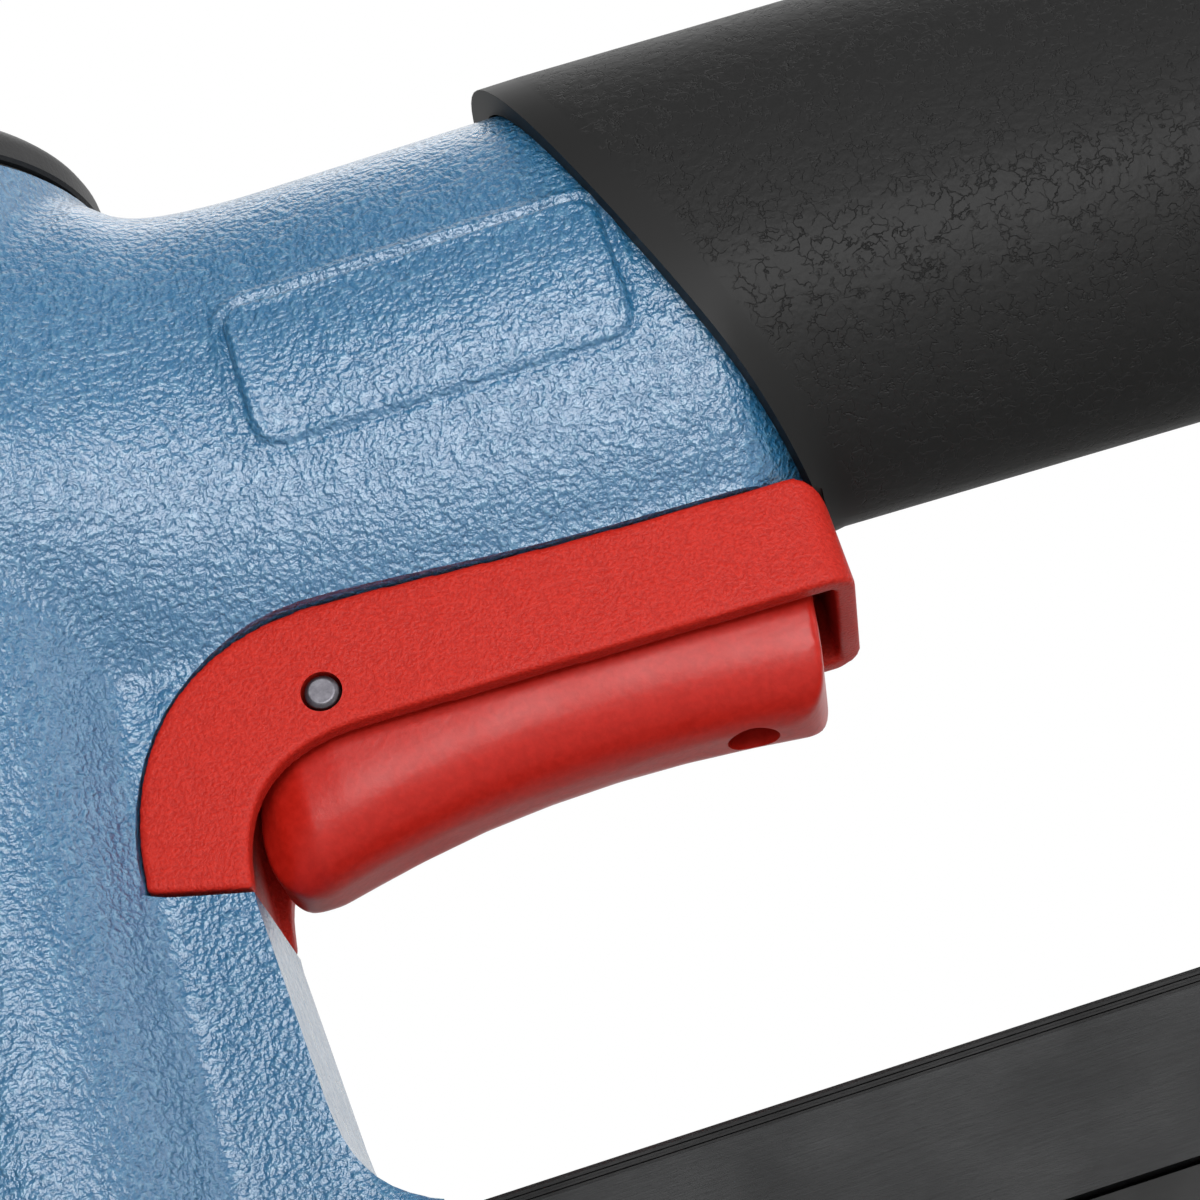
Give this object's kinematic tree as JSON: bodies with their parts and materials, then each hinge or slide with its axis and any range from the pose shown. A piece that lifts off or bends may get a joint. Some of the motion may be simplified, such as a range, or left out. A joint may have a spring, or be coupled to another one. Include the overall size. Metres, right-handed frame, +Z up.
{
  "type": "pneumatic staple gun",
  "caption": "Air-powered upholstery staple gun: cast body with sleeve grip, hinged trigger in a bracket, driver in the head, magazine with sliding rail and latch under the handle.",
  "frame": {"origin": "centre of the gun's outline on the surface it stands on, under its nose tip and magazine foot", "axes": "+Z up along the driver axis, +X from the head towards the handle's rear end, +Y across the gun"},
  "size_m": [0.2402, 0.0484, 0.1438],
  "materials": {
    "blue_hammertone_paint": "hammertone, satin gloss",
    "grip_rubber": "creased leather texture",
    "black_plastic": "satin",
    "red_plastic": "fine grain, satin",
    "black_steel": "brushed, blackened",
    "steel": "turned",
    "aluminium": "machined",
    "brass": "turned",
    "seal_rubber": "smooth"
  },
  "bodies": {
    "frame": {"body_casting": "blue_hammertone_paint", "head_gasket": "seal_rubber", "cylinder_cap": "black_plastic", "cap_screw_1": "steel", "cap_screw_2": "steel", "cap_screw_3": "steel", "cap_screw_4": "steel", "deflector_screw": "steel", "cylinder_sleeve": "aluminium", "sleeve_o_ring_lower": "seal_rubber", "sleeve_o_ring_upper": "seal_rubber", "bumper": "seal_rubber", "head_valve_spring": "steel", "trigger_bracket": "red_plastic", "trigger_pin": "steel", "valve_body": "brass", "trigger_spring": "steel", "rubber_grip": "grip_rubber", "end_cap_seal": "seal_rubber", "handle_end_cap": "aluminium", "end_cap_screw_1": "steel", "end_cap_screw_2": "steel", "air_plug": "steel", "nose_front_plate": "black_steel", "nose_back_plate": "black_steel", "nose_screw_1": "steel", "nose_screw_2": "steel", "nose_screw_3": "steel", "nose_screw_4": "steel", "magazine_rail": "black_steel", "magazine_screw_1": "steel", "magazine_screw_2": "steel"},
    "deflector": {"exhaust_deflector": "black_plastic"},
    "piston_driver": {"piston": "aluminium", "piston_o_ring": "seal_rubber", "driver_blade": "steel", "driver_pin": "steel"},
    "head_valve": {"head_valve": "aluminium", "head_valve_o_ring": "seal_rubber"},
    "trigger": {"trigger": "red_plastic"},
    "valve_stem": {"valve_stem": "steel"},
    "magazine_slide": {"magazine_slide": "black_steel", "magazine_tail": "black_plastic", "tail_screw_1": "steel", "tail_screw_2": "steel", "latch_pin": "steel", "latch_spring": "steel"},
    "pusher": {"pusher": "steel", "pusher_roll_spring": "steel"},
    "latch": {"latch_lever": "steel"}
  },
  "joints": [
    {"name": "deflector_turn", "type": "hinge", "parent": "frame", "child": "deflector", "pos_m": [-0.0959, 0, 0.138], "axis": [0, 0, 1], "continuous": true},
    {"name": "piston_stroke", "type": "slide", "parent": "frame", "child": "piston_driver", "axis": [0, 0, -1], "range_m": [0, 0.028]},
    {"name": "head_valve_lift", "type": "slide", "parent": "frame", "child": "head_valve", "axis": [0, 0, 1], "range_m": [0, 0.003], "stiffness_N_per_m": 600, "springref_m": -0.002, "deforming": ["head_valve_spring"]},
    {"name": "trigger_pull", "type": "hinge", "parent": "frame", "child": "trigger", "pos_m": [-0.0632, 0, 0.0734], "axis": [0, -1, 0], "range_deg": [0, 7], "stiffness_Nm_per_rad": 0.6, "springref_deg": -5.73, "deforming": ["trigger_spring"]},
    {"name": "valve_stem_lift", "type": "slide", "parent": "frame", "child": "valve_stem", "axis": [0, 0, 1], "range_m": [0, 0.0029]},
    {"name": "magazine_slide_out", "type": "slide", "parent": "frame", "child": "magazine_slide", "axis": [1, 0, 0], "range_m": [0, 0.11]},
    {"name": "pusher_travel", "type": "slide", "parent": "magazine_slide", "child": "pusher", "axis": [1, 0, 0], "range_m": [0, 0.115], "stiffness_N_per_m": 25, "springref_m": -0.08},
    {"name": "latch_lift", "type": "hinge", "parent": "magazine_slide", "child": "latch", "pos_m": [0.0765, 0, 0.0296], "axis": [0, 1, 0], "range_deg": [0, 10], "stiffness_Nm_per_rad": 0.3, "springref_deg": -11.46, "deforming": ["latch_spring"]}
  ],
  "couplings": [
    {"joint": "valve_stem_lift", "follows": "trigger_pull", "m_per_rad": 0.0233}
  ]
}
